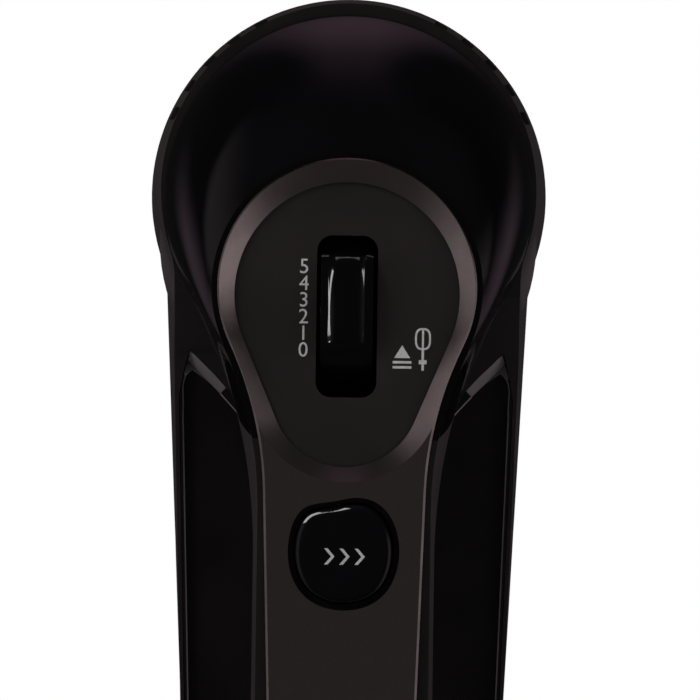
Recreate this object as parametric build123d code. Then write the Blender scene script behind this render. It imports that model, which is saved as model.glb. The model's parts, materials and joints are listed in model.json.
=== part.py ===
from build123d import *
from math import cos, degrees, pi, radians, sin, sqrt, tan
import os

# Hand mixer, in millimetres. It stands on its heel: +Z runs from the heel to the nose,
# the handle faces -Y and the beaters point to +Y. The motor turns about the Z axis.
# A "level" is the distance from the motor axis towards the handle, so y = -level.

# ---------------------------------------------------------------- fits and walls
RUN = 0.06  # running clearance per side, shaft in bush
SEAT = 0.03  # seat clearance per side, between pieces that stay together
SEAM = 0.15  # seam between neighbouring shells
PLAY = 0.3  # free room round a moving piece
WALL = 2.4  # wall of the plastic shells

# ---------------------------------------------------------------- motor housing
UNDERSIDE = -38  # level of the face that the beaters come out of
PARTING = -4  # level where lower and upper housing meet
ROOF = 36  # level of the floor of the finger gap
ROOF_T = 4.5  # thickness of that floor, and of the collar's inner rim
COLLAR = ROOF + 10  # level of the upper edge of the collar round the head
HEAD_Z = 158  # centre of the round head, and height of both spindles
HEAD_R = 47
BODY_FRONT = HEAD_R - 2.9  # half width of the housing's side line at the head centre
BODY_BACK = HEAD_R - 10.3  # half width of the same line at the heel
BODY_NECK_R = 18
BODY_CORNER_R = 14
HEEL_LOW_R = 10  # rounding from the heel to the underside, seen from the side
HEEL_HIGH_R = 30  # rounding from the heel to the top of the handle
# offsets inward from the widest outline: level, at the head, at the heel
BODY_SECTIONS = [
    (UNDERSIDE, 9, 7),
    (UNDERSIDE + 5, 4.6, 3.4),
    (UNDERSIDE + 14, 1.8, 1.2),
    (PARTING, 0, 0),
    (ROOF - 18, 0.6, 0.2),
    (ROOF, 2.9, 0.4),
    (COLLAR, 3.8, 0.4),
]
COLLAR_Z = HEAD_Z - 38  # where the collar starts to rise from the roof
COLLAR_RISE = 14  # length of that rise

# ---------------------------------------------------------------- handle and hood
HANDLE_TOP = 95  # level of the top of the handle shell
HANDLE_UNDER = HANDLE_TOP - 25  # level of the underside of the handle
GAP_REAR = 26  # ends of the finger gap
GAP_FRONT = 112
GAP_R = 11
COLUMN_CORNER_R = 9
# level, head centre z, head radius, half width of the grip, radius of the hollow neck
HANDLE_SECTIONS = [
    (ROOF - ROOF_T - 0.5, HEAD_Z - 11, HEAD_R - 3, 21.5, 50),
    (COLLAR, HEAD_Z - 2, HEAD_R - 4.5, 20.9, 100),
    (HANDLE_TOP - 35, HEAD_Z - 3, HEAD_R - 5.8, 20.5, 120),
    (HANDLE_TOP - 20, HEAD_Z - 6.5, HEAD_R - 8.4, 20.2, 120),
    (HANDLE_TOP - 8, HEAD_Z - 13, HEAD_R - 12, 19.7, 84),
    (HANDLE_TOP, HEAD_Z - 23, HEAD_R - 17.4, 18.9, 84),
]
HOOD_REAR = 102  # where the glossy hood runs out beside the trim
HOOD_FRONT = 134  # where its lower edge reaches the collar

# ---------------------------------------------------------------- trim and panel
TRIM_TOP = HANDLE_TOP + 2.5
TRIM_SEAT = HANDLE_TOP - 1.2  # level of the recess floor under the trim
OPENING_LEVEL = HANDLE_TOP - 15  # the openings for panel and turbo button are cut from here up
TRIM_Z = HEAD_Z - 23
TRIM_R = HEAD_R - 18.7
TRIM_FRONT = 19.1
TRIM_BACK = 14.9
TRIM_NECK_R = 80
TRIM_REAR = 31
PANEL_WIDE_R = TRIM_R - 3.7  # the teardrop panel: large circle, then small circle
PANEL_WIDE_Z = 133.5
PANEL_NARROW_R = 16.3
PANEL_NARROW_Z = 112.2
BEVEL_WIDE_R = TRIM_R - 0.3
BEVEL_WIDE_Z = 135.2
BEVEL_NARROW_R = 20.8
BEVEL_NARROW_Z = 113.5
BEVEL_LIP = 0.8  # thickness of the trim at the foot of its bevel
PANEL_T = 1.6
PANEL_TUCK = 1.5  # how far the panel reaches under the trim
PANEL_LEDGE = 2.5
SLOT_WIDTH = 13.3
SLOT_LENGTH = 35.4
SLOT_Z = 128.8
SLOT_R = 3.4

# ---------------------------------------------------------------- speed dial
DIAL_Z = 130.2
DIAL_LEVEL = HANDLE_TOP - 20.8
DIAL_R = 23.3
DIAL_HALF = 5.7
DIAL_SKIRT_R = 21
DIAL_SKIRT_T = 1.8
DIAL_PAD = (-22, 32)  # angles of the thumb pad from the handle direction, towards the nose
DIAL_SKIRT = (-70, 62)
DIAL_HUB_R = 4.5
DIAL_AXLE_R = 1.5
DIAL_DISH = 1.1  # depth of the thumb dish
DIAL_RIM = 1.6  # width of the rim on each side of the dish

# ---------------------------------------------------------------- eject carriage
EJECT_TRAVEL = 7
CARRIAGE_LEVEL = 38
CARRIAGE_T = 3
CARRIAGE_HALF = 25
CARRIAGE_NECK_HALF = 17
CARRIAGE_FRONT = 164
CARRIAGE_STEP = 151
CARRIAGE_REAR = 121
CHEEK_T = 2
CHEEK_LENGTH = 16
PEG_R = 2.6
POST_X = 12
POST_Z = 145
POST_R = 2.4
SLEEVE_R = 4
SLEEVE_HEIGHT = 3
EJECT_WIRE = 0.5
EJECT_TURNS = 8

# ---------------------------------------------------------------- turbo button
TURBO_Z = 76.9
TURBO_HALF = 12.1
TURBO_GAP = 1.45  # gap between the hole in the trim and the button
TURBO_TOP = TRIM_TOP + 1.1
TURBO_BASE = TRIM_TOP - 6.1
TURBO_TRAVEL = 2.5
TURBO_CUP_T = 1.5
TURBO_STEM_R = 2.4
SWITCH_SIZE = (6.4, 20, 10.3)
PLUNGER_R = 1.4
PLUNGER_HEIGHT = 1.4
TURBO_WIRE = 0.45
TURBO_TURNS = 4

# ---------------------------------------------------------------- drive
SHAFT_R = 2.5
SHAFT_REAR = 27.6
SHAFT_FRONT = 177
BEARING_R = 6
BEARING_LENGTH = 6
REAR_BEARING_Z = 28
WORM_STARTS = 2
WORM_PITCH_R = 4.5
WHEEL_TEETH = 26
SPINDLE_X = 21
WORM_LENGTH = 22
WHEEL_WIDTH = 9
MESH = 0.2  # backlash in the mesh, along the pitch line
MODULE = 2 * (SPINDLE_X - WORM_PITCH_R) / WHEEL_TEETH
LEAD = WORM_STARTS * pi * MODULE
CORE_REAR = 64
CORE_FRONT = 92
CORE_R = 15.4
AIR_GAP = 0.5
CORE_SLOTS = 11
COIL_OVERHANG = 7
WINDING_R = 13.5
COMMUTATOR_R = 9
COMMUTATOR_REAR = 42
COMMUTATOR_FRONT = 54
COMMUTATOR_BARS = 22
FAN_REAR = 103.5
FAN_HEIGHT = 9
FAN_R = 26.5
FAN_BLADES = 11
STATOR_HALF = 28
STATOR_LEVEL = 23
STATOR_R = 7
STATOR_RIBS = (CORE_REAR + 4, CORE_FRONT - 7)  # rear faces of the ribs that hold the stator
RIB_HALF = 20
RIB_T = 3
BOSS_HEAD = 4  # how far below the roof the upper ribs and bosses are drawn to
COIL_IN = 17
COIL_OUT = 22.3
COIL_LOW = 5.7
COIL_HIGH = 13.3
COIL_END = 20.5
BRACKET_REAR = 33
BRACKET_T = 5
BRACKET_SCREW_X = 25.4
BRACKET_POST_R = 2.7
BRACKET_SCREW_LEVEL = 11
BRUSH_HALF = (2.5, 3.5)
BRUSH_END = 19
HOLDER_IN = 10.5
HOLDER_OUT = 27
HOLDER_T = 0.8
BRUSH_WIRE = 0.35
BRUSH_TURNS = 6

# ---------------------------------------------------------------- gearbox and spindles
BOX_LOW = -12
BOX_HIGH = 9
BOX_FLOOR = 2.2
BOX_R = 20.4
COVER_T = 3
LUG_R = 4.4
LUGS = [(-16, 181.5), (16, 181.5), (-27, 136), (27, 136)]
SPINDLE_R = 5
SPINDLE_LOW = -33.5
SPINDLE_HIGH = 19
BUSH_R = 7.5
BUSH_LOW = -20
BUSH_HIGH = 17
BUSH_FACE = 4.8  # distance of both bush faces from the wheel's middle plane
BOSS_T = 2.4
RING_R = 6.5
RING_T = 2.4
PORT_R = 8
PORT_RIM = 10.6
PORT_RIM_T = 2
PORT_BORE_R = 6.6

# ---------------------------------------------------------------- beaters
SHANK_R = 3
SHANK_TOP = 15
SHANK_END = -87
TAB_HALF = 4.5
TAB_T = 1.8
TAB_LENGTH = 5
BEATER_COLLAR_TOP = -41.2
BEATER_COLLAR_T = 3.2
BEATER_COLLAR_R = 8.4
BEATER_TEETH = 12
CAGE_R = 22.5
CAGE_FOOT_R = 19
CAGE_SHOULDER = -107
CAGE_FOOT = -150
STRIP_T = 1.5
STRIP_WIDTH = 5

# ---------------------------------------------------------------- small pieces
SCREW_R = 1.5
SCREW_HEAD_R = 3.1
SCREW_HEAD_T = 2.2
HOUSING_BOSS_R = 5.2
HOUSING_BOSSES = [(-26, 16), (26, 16), (-34, 116), (34, 116), (0, HEAD_Z + HEAD_R - 6.5)]
HOUSING_SCREW_LOW = UNDERSIDE + 7
HOUSING_SCREW_HIGH = 6
GLAND_R = 6
GLAND_BORE_R = 3.6
GLAND_FLANGE_R = 8
GLAND_FLANGE_T = 2
GLAND_INSIDE = 7
GLAND_OUTSIDE = 8
GLAND_ANGLE = 60  # from the heel direction towards the handle top
VENT_WIDTH = 3.2
VENT_LOW = 24
VENT_HIGH = 41
VENT_FIRST = 28
VENT_STEP = 9.5
VENT_COUNT = 5
OUTLET_WIDTH = 2.6
OUTLET_LENGTH = 26
OUTLET_PITCH = 6
OUTLET_COUNT = 7
OUTLET_Z = 52
LEAF_T = 3.4  # depth of the tray in the roof, under the fingers
LEAF_SUNK = 2.4  # how far its floor lies below the roof
LEAF_RIM = 0.9  # roof left beside the tray
LEAF_EDGE = 0.9  # width of the tray's own edge
LEAF_CHAMFER = 0.3
LEAF_TIP = (BODY_FRONT - 7.7, HEAD_Z - 37)  # point of the tray beside the neck
LEAF_LIP = [(0, 100.5), (14, 101.4), (23.5, 107.8), (29.3, 114)]  # its front edge, up to that point
LEAF_SIDE = [(BODY_FRONT - 6.5, 116.8), (BODY_FRONT - 5.4, 110.5), (BODY_FRONT - 3.6, 104)]  # its side edge
LEAF_TIP_DROP = (0.5, 2.6)  # how far the sunk floor's point lies inward and back of that point
LEAF_LIP_DROP = 2.1  # how far its front edge lies back
LEAF_SLOPE = 48  # steepness of the lip
LEAF_SLOPE_WIDTH = 2.2
CAPACITOR = (11, 15, 12)
CAPACITOR_Z = 98.5
TERMINAL = (16, 12, 9)
TERMINAL_Z = 46
CLAMP_Z = 20
CLAMP_LEVEL = HANDLE_TOP - 35
CLAMP_HALF = 12
CLAMP_WIDTH = 7
CLAMP_T = 3
CLAMP_SCREW_X = 8.5
BOARD_SIZE = (1.6, 24, 26)
WIPER_T = 0.8

SIDE = Plane(origin=(0, 0, 0), x_dir=(0, 0, 1), z_dir=(1, 0, 0))  # draws (z, level)
UP = (0, 0, 1)
OUT = (0, -1, 0)


# ================================================================ drawing helpers
def unit(vector):
    return vector / vector.length


def arc(centre, radius, start, end):
    """The shorter arc about a centre, between two of its points."""
    middle = centre + unit(start + end - centre * 2) * radius
    return ThreePointArc(start, middle, end)


def keyhole(head_z, head_r, front, back, neck_r, rear, corner):
    """Face in (x, z): a round head, two hollow necks, tapering sides and a rounded rear.

    front and back are the half widths of the side lines at the head centre and at z = 0."""
    slope = (front - back) / head_z
    lean = sqrt(1 + slope**2)
    side = Vector(1, -slope) / lean
    reach = head_r + neck_r
    base = back + neck_r * lean
    half = base * slope - head_z
    neck_z = (-half - sqrt(half**2 - lean**2 * (base**2 + head_z**2 - reach**2))) / lean**2
    neck = Vector(base + slope * neck_z, neck_z)
    head = Vector(0, head_z)
    joint = head + (neck - head) * (head_r / reach)
    side_top = neck - side * neck_r
    turn = Vector(back + slope * (rear + corner) - corner * lean, rear + corner)
    side_low = turn + side * corner
    foot = Vector(turn.X, rear)

    def other(point):
        return Vector(-point.X, point.Y)

    edges = [
        ThreePointArc(joint, (0, head_z + head_r), other(joint)),
        arc(other(neck), neck_r, other(joint), other(side_top)),
        Line(other(side_top), other(side_low)),
        arc(other(turn), corner, other(side_low), other(foot)),
        Line(other(foot), foot),
        arc(turn, corner, foot, side_low),
        Line(side_low, side_top),
        arc(neck, neck_r, side_top, joint),
    ]
    return make_face(Curve() + edges)


def teardrop(wide_z, wide_r, narrow_z, narrow_r):
    """Face in (x, z): two circles joined by their outer tangents."""
    lean = (wide_r - narrow_r) / (wide_z - narrow_z)
    side = Vector(sqrt(1 - lean**2), -lean)
    wide = Vector(0, wide_z) + side * wide_r
    narrow = Vector(0, narrow_z) + side * narrow_r
    edges = [
        ThreePointArc(wide, (0, wide_z + wide_r), (-wide.X, wide.Y)),
        Line((-wide.X, wide.Y), (-narrow.X, narrow.Y)),
        ThreePointArc((-narrow.X, narrow.Y), (0, narrow_z - narrow_r), narrow),
        Line(narrow, wide),
    ]
    return make_face(Curve() + edges)


def slab(face, low, high):
    """A face drawn in (x, z), made solid between two levels."""
    return extrude(Plane.XZ.offset(low) * face, high - low, dir=OUT)


def rod(x, z, radius, low, high):
    """Round bar along Y between two levels."""
    return slab(Pos(x, z) * Circle(radius), low, high)


def axial(radius, rear, front, x=0, level=0):
    """Round bar along Z."""
    return extrude(Plane.XY.offset(rear) * Pos(x, -level) * Circle(radius), front - rear, dir=UP)


def block(x_low, x_high, low, high, rear, front):
    """Box between two x, two levels and two z."""
    size = (x_high - x_low, high - low, front - rear)
    middle = Pos((x_low + x_high) / 2, -(low + high) / 2, (rear + front) / 2)
    return middle * Box(*size)


def across(face, half):
    """A face drawn in (z, level), made solid to both sides of the middle plane."""
    return extrude(SIDE * face, half, dir=(1, 0, 0), both=True)


def both_sides(part):
    return part + mirror(part, Plane.YZ)


def coil_spring(centre, direction, radius, wire, length, turns):
    """Round wire spring that starts at a centre and runs along a direction."""
    path = Helix(length / turns, length, radius, center=centre, direction=direction)
    return sweep((path ^ 0) * Circle(wire), path, is_frenet=True)


def write(name, part):
    export_step(part, os.path.join("parts", name + ".step"))


# ================================================================ outlines of the shells
def body_face(head_inset, heel_inset):
    return keyhole(HEAD_Z, HEAD_R - head_inset, BODY_FRONT - head_inset, BODY_BACK - heel_inset,
                   BODY_NECK_R + head_inset, 0, BODY_CORNER_R)


def body_solid(inset=0):
    faces = [Plane.XZ.offset(level) * body_face(head + inset, heel + inset)
             for level, head, heel in BODY_SECTIONS]
    return loft(faces) & side_limit(inset)


def handle_face(section, inset=0):
    _, head_z, head_r, half, neck_r = section
    return keyhole(head_z, head_r - inset, half - inset, half - inset, neck_r + inset,
                   0, COLUMN_CORNER_R)


def handle_solid(inset=0, drop=0):
    faces = [Plane.XZ.offset(section[0] - drop * (section[0] > COLLAR)) * handle_face(section, inset)
             for section in HANDLE_SECTIONS]
    return loft(faces) & side_limit(inset)


def side_limit(inset):
    """Everything between the heel, the underside and the rounded rear of the handle."""
    low_r = HEEL_LOW_R - inset
    high_r = HEEL_HIGH_R - inset
    low = UNDERSIDE + inset
    high = HANDLE_TOP - inset
    far = 2 * HEAD_Z
    low_turn = Vector(inset + low_r, low + low_r)
    high_turn = Vector(inset + high_r, high - high_r)
    edges = [
        arc(low_turn, low_r, Vector(low_turn.X, low), Vector(inset, low_turn.Y)),
        Line((inset, low_turn.Y), (inset, high_turn.Y)),
        arc(high_turn, high_r, Vector(inset, high_turn.Y), Vector(high_turn.X, high)),
        Line((high_turn.X, high), (far, high)),
        Line((far, high), (far, low)),
        Line((far, low), (low_turn.X, low)),
    ]
    return across(make_face(Curve() + edges), HEAD_R * 2)


def gap_solid(inset=0):
    """The finger gap; a negative inset would narrow it."""
    length = GAP_FRONT - GAP_REAR + 2 * inset
    height = HANDLE_UNDER - ROOF + 2 * inset
    middle = Pos((GAP_FRONT + GAP_REAR) / 2, (HANDLE_UNDER + ROOF) / 2)
    return across(middle * RectangleRounded(length, height, GAP_R + inset), HEAD_R * 2)


def hood_region():
    """Everything in front of the hood's lower edge, seen from the side."""
    far = 2 * HEAD_Z
    low = (HOOD_FRONT, COLLAR)
    high = (HOOD_REAR, HANDLE_TOP)
    edges = [
        Spline(low, high, tangents=[(-1, 0.15), (-0.1, 1)]),
        Line(high, (HOOD_REAR, far)),
        Line((HOOD_REAR, far), (far, far)),
        Line((far, far), (far, COLLAR)),
        Line((far, COLLAR), low),
    ]
    return across(make_face(Curve() + edges), HEAD_R * 2)


def collar_limit(drop=0):
    """Everything below the roof, and below the collar edge at the head."""
    far = 2 * HEAD_Z
    points = [
        (-far, 2 * UNDERSIDE),
        (far, 2 * UNDERSIDE),
        (far, COLLAR - drop),
        (COLLAR_Z + COLLAR_RISE, COLLAR - drop),
        (COLLAR_Z, ROOF - drop),
        (-far, ROOF - drop),
    ]
    return across(make_face(Polyline(*points, close=True)), HEAD_R * 2)


def leaf_face(gap, tip_drop=(0, 0), lip_drop=0):
    """Outline of the tray under the fingers: inside the side line, behind a lip that ends in a point."""
    _, head_inset, heel_inset = BODY_SECTIONS[5]
    rim = body_face(head_inset + LEAF_RIM + gap, heel_inset + LEAF_RIM + gap)
    tip = Vector(LEAF_TIP[0] - gap + tip_drop[0], LEAF_TIP[1] - 2 * gap - tip_drop[1])
    front = [Vector(x, z - gap - lip_drop) for x, z in LEAF_LIP] + [tip]
    side = [tip] + [Vector(x - gap, z - gap) for x, z in LEAF_SIDE]
    right = [Spline(*front), Spline(*side)]
    left = [edge.mirror(Plane.YZ) for edge in right]
    far, heel, last = 2 * HEAD_R, LEAF_RIM + gap, side[-1]
    frame = Polyline((last.X, last.Y), (far, last.Y), (far, heel), (-far, heel), (-far, last.Y),
                     (-last.X, last.Y))
    region = make_face(Curve() + right + left + frame)
    feet = body_face(0, 0) & handle_face(HANDLE_SECTIONS[0], -gap)
    feet -= Pos(0, GAP_REAR + gap + HEAD_Z) * Rectangle(4 * HEAD_R, 2 * HEAD_Z)
    return (rim & region) - feet


def lip_cuts():
    """Sloped faces that lead from the tray's front lip down to its floor."""
    end, tip = Vector(*LEAF_LIP[-1]), Vector(*LEAF_TIP)
    along = unit(tip - end)
    cuts = []
    for side in (-1, 1):
        run = Vector(side * along.X, 0, along.Y)
        fall = Vector(side * along.Y, 0, -along.X)
        slope = radians(LEAF_SLOPE)
        normal = fall * sin(slope) + Vector(*OUT) * cos(slope)
        place = Plane(origin=Vector(side * tip.X, -ROOF, tip.Y), x_dir=run, z_dir=normal)
        length = 2 * (LEAF_SLOPE_WIDTH + (tip - end).length)
        cuts.append(place * Pos(0, 0, LEAF_T) * Box(length, 2 * LEAF_SLOPE_WIDTH / cos(slope), 2 * LEAF_T))
    above = block(-2 * HEAD_R, 2 * HEAD_R, ROOF - LEAF_SUNK, ROOF + 1, 0, 2 * HEAD_Z)
    return (Part() + cuts) & above


def gap_floor():
    """Gloss tray let into the roof, with a chamfered edge and a sloped lip in front."""
    tray = slab(leaf_face(SEAM), ROOF - LEAF_T, ROOF)
    tray -= slab(leaf_face(SEAM + LEAF_EDGE, LEAF_TIP_DROP, LEAF_LIP_DROP), ROOF - LEAF_SUNK, ROOF + 1)
    edge = tray.faces().sort_by(Axis.Y)[0].inner_wires()[0].edges()
    return chamfer(edge, LEAF_CHAMFER) - lip_cuts()


def trim_face(gap=0):
    return keyhole(TRIM_Z, TRIM_R + gap, TRIM_FRONT + gap, TRIM_BACK + gap, TRIM_NECK_R - gap,
                   TRIM_REAR - gap, TRIM_BACK - 0.4)


def panel_face(grow=0):
    return teardrop(PANEL_WIDE_Z, PANEL_WIDE_R + grow, PANEL_NARROW_Z, PANEL_NARROW_R + grow)


def turbo_face(inset=0):
    """Soft-cornered button outline, a little fuller towards the nose."""
    half = TURBO_HALF - inset
    right = [(0, half), (0.75 * half, 0.81 * half), (half, 0.16 * half), (0.66 * half, -0.78 * half)]
    left = [(-x, z) for x, z in reversed(right[1:])]
    curve = Spline(*right, (0, -half), *left, periodic=True)
    return Pos(0, TURBO_Z) * make_face(curve)


# ================================================================ shells
def vents():
    """Slots with pointed upper ends through the collar, on both sides of the nose."""
    half = VENT_WIDTH / 2
    points = [(-half, VENT_LOW), (half, VENT_LOW), (half, VENT_HIGH - half), (0, VENT_HIGH + half),
              (-half, VENT_HIGH - half)]
    slots = []
    for index in range(VENT_COUNT):
        angle = VENT_FIRST + VENT_STEP * index
        for sign in (-1, 1):
            turn = radians(sign * angle)
            outward = (sin(turn), 0, cos(turn))
            plane = Plane(origin=(0, 0, HEAD_Z), x_dir=(cos(turn), 0, -sin(turn)), z_dir=outward)
            flip = 1 if plane.y_dir.Y < 0 else -1
            face = plane.offset(HEAD_R - 9) * make_face(Polyline(*[(x, flip * y) for x, y in points],
                                                                 close=True))
            slots.append(extrude(face, 14, dir=outward))
    return slots


def outlets():
    """Air outlets in the underside, below the commutator."""
    slots = []
    for index in range(OUTLET_COUNT):
        x = (index - (OUTLET_COUNT - 1) / 2) * OUTLET_PITCH
        face = Pos(x, OUTLET_Z) * SlotOverall(OUTLET_LENGTH, OUTLET_WIDTH, rotation=90)
        slots.append(slab(face, UNDERSIDE - 1, UNDERSIDE + WALL + 1))
    return slots


def boss_rods(low, high, radius, places):
    return [rod(x, z, radius, low, high) for x, z in places]


def gland_plane(distance):
    """Plane across the cord inlet, at a distance outward from the handle's rear curve."""
    turn = radians(GLAND_ANGLE)
    outward = Vector(0, -sin(turn), -cos(turn))
    centre = Vector(0, -(HANDLE_TOP - HEEL_HIGH_R), HEEL_HIGH_R) + outward * (HEEL_HIGH_R + distance)
    return Plane(origin=centre, x_dir=(1, 0, 0), z_dir=outward)


def gland_rod(radius, start, end):
    plane = gland_plane(start)
    return extrude(plane * Circle(radius), end - start, dir=plane.z_dir)


def lower_housing():
    outer = body_solid()
    below = block(-HEAD_R * 2, HEAD_R * 2, 2 * UNDERSIDE, PARTING, -1, 2 * HEAD_Z)
    shell = (outer - body_solid(WALL)) & below
    bosses = boss_rods(UNDERSIDE, PARTING, HOUSING_BOSS_R, HOUSING_BOSSES)
    bosses += boss_rods(UNDERSIDE + 1, BOX_LOW, LUG_R, LUGS)
    for z in STATOR_RIBS:
        bosses.append(block(-RIB_HALF, RIB_HALF, UNDERSIDE + 1, -STATOR_LEVEL, z, z + RIB_T))
    shell += (Part() + bosses) & outer
    for x, z in HOUSING_BOSSES:
        shell -= rod(x, z, SCREW_R + SEAM, UNDERSIDE - 5, PARTING + 1)
        shell -= rod(x, z, SCREW_HEAD_R + PLAY, UNDERSIDE - 5, HOUSING_SCREW_LOW)
    for x, z in LUGS:
        shell -= rod(x, z, SCREW_R, BOX_LOW - 18, BOX_LOW + 1)
    for x in (-SPINDLE_X, SPINDLE_X):
        shell -= rod(x, HEAD_Z, PORT_R, UNDERSIDE - 1, UNDERSIDE + WALL + 1)
    return shell - outlets()


def shell_cavity():
    """The hollow of the housing, the neck and the handle."""
    body = body_solid(WALL) & collar_limit(ROOF_T)
    handle = handle_solid(WALL, drop=WALL) - gap_solid(WALL)
    return body + handle


def roof_pads():
    """Thicker roof under the panel, inside the handle's top."""
    return slab(panel_face(PANEL_TUCK + 1.5), TRIM_SEAT - PANEL_T - 3, HANDLE_TOP - 1)


def outer_shell():
    """Satin shell and glossy hood together, before they are parted."""
    body = body_solid() & collar_limit()
    handle = handle_solid()
    shell = body + handle - gap_solid() - shell_cavity()
    shell += roof_pads() & handle
    shell -= slab(trim_face(SEAM), TRIM_SEAT, 2 * HANDLE_TOP)
    shell -= slab(panel_face(PANEL_TUCK + SEAM), TRIM_SEAT - PANEL_T, 2 * HANDLE_TOP)
    shell -= slab(panel_face(-PANEL_LEDGE), OPENING_LEVEL, 2 * HANDLE_TOP)
    shell -= slab(turbo_face(TURBO_GAP - PLAY - TURBO_CUP_T - SEAM), OPENING_LEVEL, 2 * HANDLE_TOP)
    return shell


def upper_housing(shell):
    above = block(-HEAD_R * 2, HEAD_R * 2, PARTING, 2 * HANDLE_TOP, -1, 2 * HEAD_Z)
    housing = (shell & above) - hood_region()
    bosses = boss_rods(PARTING, ROOF - BOSS_HEAD, HOUSING_BOSS_R - 0.8, HOUSING_BOSSES)
    for z in STATOR_RIBS:
        bosses.append(block(-RIB_HALF, RIB_HALF, STATOR_LEVEL, ROOF - BOSS_HEAD, z, z + RIB_T))
    for x in (-CLAMP_SCREW_X, CLAMP_SCREW_X):
        bosses.append(block(x - 3, x + 3, CLAMP_LEVEL - 4, CLAMP_LEVEL + 4, 1, CLAMP_Z - 3))
    limit = body_solid() + handle_solid()
    housing += (Part() + bosses) & limit
    for x, z in HOUSING_BOSSES:
        housing -= rod(x, z, SCREW_R, PARTING - 1, HOUSING_SCREW_HIGH + 1)
    for x in (-CLAMP_SCREW_X, CLAMP_SCREW_X):
        housing -= axial(SCREW_R, CLAMP_Z - 13, CLAMP_Z + 1, x, CLAMP_LEVEL)
    housing -= slab(leaf_face(0), ROOF - LEAF_T, ROOF + 1)
    housing -= gland_rod(GLAND_R + SEAT, -GLAND_INSIDE, GLAND_OUTSIDE)
    return housing - vents()


def hood(shell):
    return shell & hood_region()


def handle_trim():
    trim = slab(trim_face(), TRIM_SEAT, TRIM_TOP)
    trim = chamfer(trim.faces().sort_by(Axis.Y)[0].outer_wire().edges(), 0.5)
    inner = Plane.XZ.offset(TRIM_SEAT + BEVEL_LIP) * panel_face()
    outer = Plane.XZ.offset(TRIM_TOP) * teardrop(BEVEL_WIDE_Z, BEVEL_WIDE_R, BEVEL_NARROW_Z,
                                                 BEVEL_NARROW_R)
    trim -= loft([inner, outer], ruled=True)
    trim -= slab(panel_face(), TRIM_SEAT - 1, TRIM_TOP)
    return trim - slab(turbo_face(), TRIM_SEAT - 1, TRIM_TOP + 1)


def control_panel():
    panel = slab(panel_face(PANEL_TUCK), TRIM_SEAT - PANEL_T, TRIM_SEAT)
    slot = Pos(0, SLOT_Z) * RectangleRounded(SLOT_WIDTH, SLOT_LENGTH, SLOT_R)
    return panel - slab(slot, TRIM_SEAT - PANEL_T - 1, TRIM_SEAT + 1)


# ================================================================ speed dial and eject
def sector(outer, inner, start, end):
    """Face in (z, level) about the dial's axis, between two angles from the handle direction."""
    def polar(radius, angle):
        turn = radians(angle)
        return Vector(DIAL_Z + radius * sin(turn), DIAL_LEVEL + radius * cos(turn))

    middle = (start + end) / 2
    edges = [
        ThreePointArc(polar(outer, start), polar(outer, middle), polar(outer, end)),
        Line(polar(outer, end), polar(inner, end)),
        ThreePointArc(polar(inner, end), polar(inner, middle), polar(inner, start)),
        Line(polar(inner, start), polar(outer, start)),
    ]
    return make_face(Curve() + edges)


def dial_axis():
    return Axis((0, -DIAL_LEVEL, DIAL_Z), (1, 0, 0))


def speed_dial():
    """Thumb drum: a closed skirt under a dished pad with a rear lip, on two webs and a hub."""
    skirt_in = DIAL_SKIRT_R - DIAL_SKIRT_T
    dial = across(sector(DIAL_SKIRT_R, skirt_in, *DIAL_SKIRT), DIAL_HALF)
    web = sector(skirt_in + 0.5, DIAL_HUB_R - 1, DIAL_SKIRT[0] + 10, DIAL_SKIRT[1] - 10)
    dial += across(web, DIAL_HALF) - across(web, DIAL_HALF - 1.8)
    dial += across(sector(DIAL_R, skirt_in, *DIAL_PAD), DIAL_HALF)
    half = DIAL_HALF - DIAL_RIM
    dish_r = (half**2 + DIAL_DISH**2) / (2 * DIAL_DISH)
    start = radians(DIAL_PAD[0] + 4)
    outward = Vector(0, -cos(start), sin(start))
    ring = Plane(origin=Vector(0, -DIAL_LEVEL, DIAL_Z), x_dir=(1, 0, 0), z_dir=outward.cross(Vector(1, 0, 0)))
    flip = 1 if ring.y_dir.dot(outward) > 0 else -1
    dish = ring * Pos(0, flip * (DIAL_R + dish_r - DIAL_DISH)) * Circle(dish_r)
    dial -= revolve(dish, dial_axis(), revolution_arc=-(DIAL_PAD[1] - DIAL_PAD[0] + 4))
    hub = Pos(DIAL_Z, DIAL_LEVEL) * Circle(DIAL_HUB_R)
    dial += across(hub, DIAL_HALF + 1)
    return dial - across(Pos(DIAL_Z, DIAL_LEVEL) * Circle(DIAL_AXLE_R + SEAT), DIAL_HALF + 2)


CHEEK_IN = DIAL_HALF + 1 + PLAY
CHEEK_OUT = CHEEK_IN + CHEEK_T
WIPER_IN = CHEEK_OUT + PLAY
BOARD_IN = WIPER_IN + WIPER_T + PLAY
AXLE_END = WIPER_IN + WIPER_T + PLAY / 2


def dial_axle():
    return across(Pos(DIAL_Z, DIAL_LEVEL) * Circle(DIAL_AXLE_R), AXLE_END)


def wiper():
    """Contact arm on the dial's axle that sweeps over the speed board."""
    arm = Pos(DIAL_Z, DIAL_LEVEL) * (Circle(3.4) + Pos(0, -5) * Rectangle(3, 10))
    arm = extrude(Plane(origin=(WIPER_IN, 0, 0), x_dir=(0, 0, 1), z_dir=(1, 0, 0)) * arm, WIPER_T,
                  dir=(1, 0, 0))
    hole = across(Pos(DIAL_Z, DIAL_LEVEL) * Circle(DIAL_AXLE_R + SEAT), AXLE_END + 1)
    return arm - hole


def speed_board():
    """Circuit board beside the dial, carried by the carriage."""
    thick, length, height = BOARD_SIZE
    low = DIAL_LEVEL - height + 8
    return block(BOARD_IN, BOARD_IN + thick, low, low + height, DIAL_Z - length / 2, DIAL_Z + length / 2)


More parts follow.
